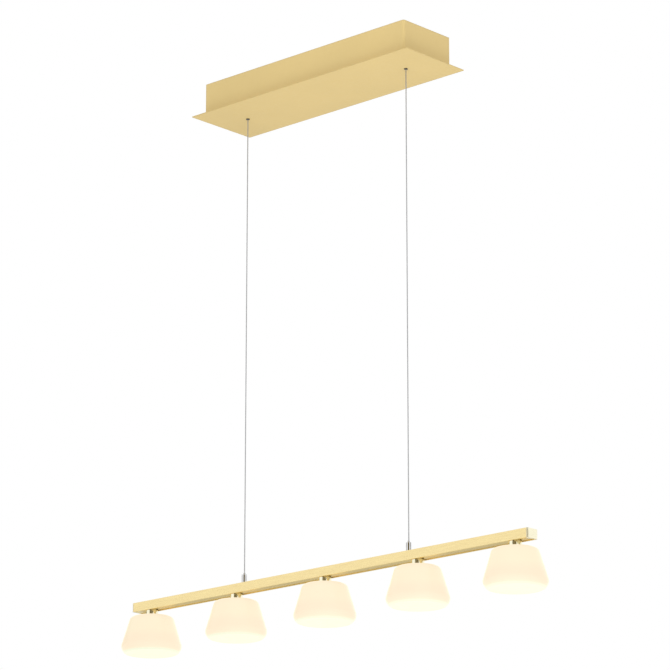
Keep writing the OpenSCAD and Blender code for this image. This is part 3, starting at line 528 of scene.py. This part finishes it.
def rope(name, x, y, top, bottom, body):
    """A bundle of strands laid round an upright axis, in one closed skin."""
    length = top - bottom
    rings = round(length / CABLE_RING_STEP)
    sides = CABLE_STRANDS * STRAND_POINTS
    points = []
    for ring in range(rings + 1):
        down = length * ring / rings
        turn = 2 * math.pi * down / CABLE_LAY
        for k in range(sides):
            around = 2 * math.pi * k / sides
            crest = abs(math.cos(CABLE_STRANDS * around / 2))
            reach = CABLE_R * (1 - CABLE_GROOVE * (1 - crest))
            points.append((x + reach * math.cos(around + turn), y + reach * math.sin(around + turn),
                           top - down))
    faces = []
    for ring in range(rings):
        high, low = ring * sides, (ring + 1) * sides
        for k in range(sides):
            after = (k + 1) % sides
            faces.append([high + k, low + k, low + after, high + after])
    faces.append(list(range(sides)))
    faces.append([rings * sides + k for k in reversed(range(sides))])
    return mesh_piece(name, points, faces, "cable_steel", body, CABLE_SHARP_ANGLE)


def build_cables():
    """Each cable's end stays in its bushing on the canopy; the rest goes with the suspension, in a mesh of
    its own.
    """
    for side in ("left", "right"):
        x, y, low_end, high_end = upright_box(f"suspension_cable_{side}")
        bushing_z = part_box(f"cable_bushing_{side}")[0].z
        top = bushing_z - EXIT_GAP
        rope(f"wire_rope_end_{side}", x, y, high_end, bushing_z, "canopy")
        cable = rope(f"wire_rope_{side}", x, y, top, low_end, "suspension")
        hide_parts(f"suspension_cable_{side}")
        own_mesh(cable)


# The studio

def build_world():
    """White to the eye and in reflections, but a little dimmer as light on the object."""
    world = bpy.data.worlds.new("pale_studio")
    bpy.context.scene.world = world
    world.use_nodes = True
    tree = world.node_tree
    tree.nodes.clear()
    output = tree.nodes.new("ShaderNodeOutputWorld")
    light = tree.nodes.new("ShaderNodeBackground")
    light.inputs["Strength"].default_value = WORLD_LIGHT
    shown = tree.nodes.new("ShaderNodeBackground")
    shown.inputs["Strength"].default_value = 1.0
    path = tree.nodes.new("ShaderNodeLightPath")
    seen = path.outputs["Is Camera Ray"]
    for ray in ("Is Glossy Ray", "Is Transmission Ray"):
        either = tree.nodes.new("ShaderNodeMath")
        either.operation = "MAXIMUM"
        tree.links.new(seen, either.inputs[0])
        tree.links.new(path.outputs[ray], either.inputs[1])
        seen = either.outputs[0]
    mix = tree.nodes.new("ShaderNodeMixShader")
    for background in (light, shown):
        background.inputs["Color"].default_value = (1, 1, 1, 1)
    tree.links.new(seen, mix.inputs["Fac"])
    tree.links.new(light.outputs[0], mix.inputs[1])
    tree.links.new(shown.outputs[0], mix.inputs[2])
    tree.links.new(mix.outputs[0], output.inputs["Surface"])


def plane(name, width, height):
    mesh = bpy.data.meshes.new(name)
    x, y = width / 2, height / 2
    mesh.from_pydata([(-x, -y, 0), (x, -y, 0), (x, y, 0), (-x, y, 0)], [], [(0, 1, 2, 3)])
    return link(bpy.data.objects.new(name, mesh))


def build_floor():
    floor = plane("floor", FLOOR_SIZE, FLOOR_SIZE)
    floor.location.z = FLOOR_Z
    pale = Shader("pale_floor")
    pale.two_colours(pale.noise(scale=1.5), *FLOOR_COLOURS)
    pale.rough(pale.noise(scale=6), 0.75, 0.85)
    floor.data.materials.append(pale.material)


def build_dark_cards():
    """Dark cards round the bar, seen by glossy rays alone."""
    dark = Shader("dark_card")
    dark.two_colours(dark.noise(scale=4, detail=2), *CARD_COLOURS)
    dark.set(roughness=0.9)
    bar_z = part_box("bar_profile")[1].z
    low, high = (CARD_AWAY * math.tan(math.radians(rise)) for rise in CARD_ELEVATIONS)
    middle = bar_z + (low + high) / 2
    for name, (turn, half) in DARK_CARDS.items():
        card = plane(f"dark_card_{name}", 2 * CARD_AWAY * math.tan(math.radians(half)), high - low)
        yaw = math.radians(CAMERA_YAW + turn)
        card.location = (CARD_AWAY * math.sin(yaw), -CARD_AWAY * math.cos(yaw), middle)
        aim(card, (0, 0, middle))
        card.data.materials.append(dark.material)
        card.visible_camera = False
        card.visible_diffuse = False
        card.visible_shadow = False
        card.visible_transmission = False


def build_lamps():
    """Soft lamps that light surfaces but aren't seen, not in reflections either."""
    for name, (place, target, power) in LAMPS.items():
        data = bpy.data.lights.new(name, "AREA")
        data.shape = "SQUARE"
        data.size = LAMP_SIZE
        data.energy = power
        lamp = link(bpy.data.objects.new(name, data))
        lamp.location = place
        aim(lamp, target)
        lamp.visible_camera = False
        lamp.visible_glossy = False


build_camera()
build_cables()
build_world()
build_floor()
build_dark_cards()
build_lamps()
dress_frame()
soften_springs()
build_shades()

bpy.context.scene.view_settings.view_transform = "Standard"

bpy.context.view_layer.update()
